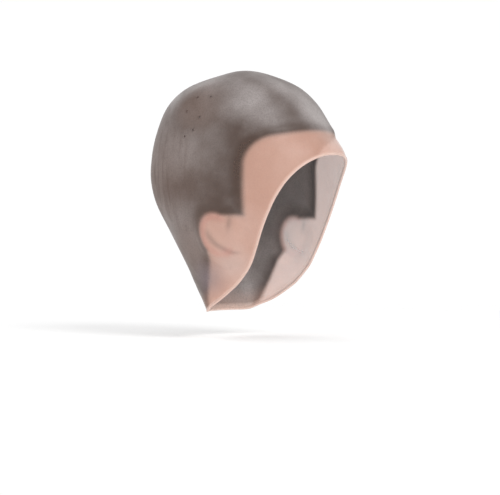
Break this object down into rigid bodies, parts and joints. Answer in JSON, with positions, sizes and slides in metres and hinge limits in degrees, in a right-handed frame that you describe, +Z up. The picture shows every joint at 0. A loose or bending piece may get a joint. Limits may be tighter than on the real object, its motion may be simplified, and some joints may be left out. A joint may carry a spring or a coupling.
{
  "type": "hair highlighting cap",
  "caption": "Thin translucent highlighting cap, worn form, covering crown, ears and nape, with a beaded edge and small hook holes at one side of the crown.",
  "frame": {"origin": "highest point of the hollow, where the inside of the crown sits on the wearer's head", "axes": "+Z up, -Y towards the brow edge, X across from ear to ear, with the hook holes on the -X side"},
  "size_m": [0.158, 0.1905, 0.2286],
  "materials": {
    "film": "matte, milky translucent"
  },
  "bodies": {
    "root": {"cap_film": "film"}
  },
  "joints": []
}
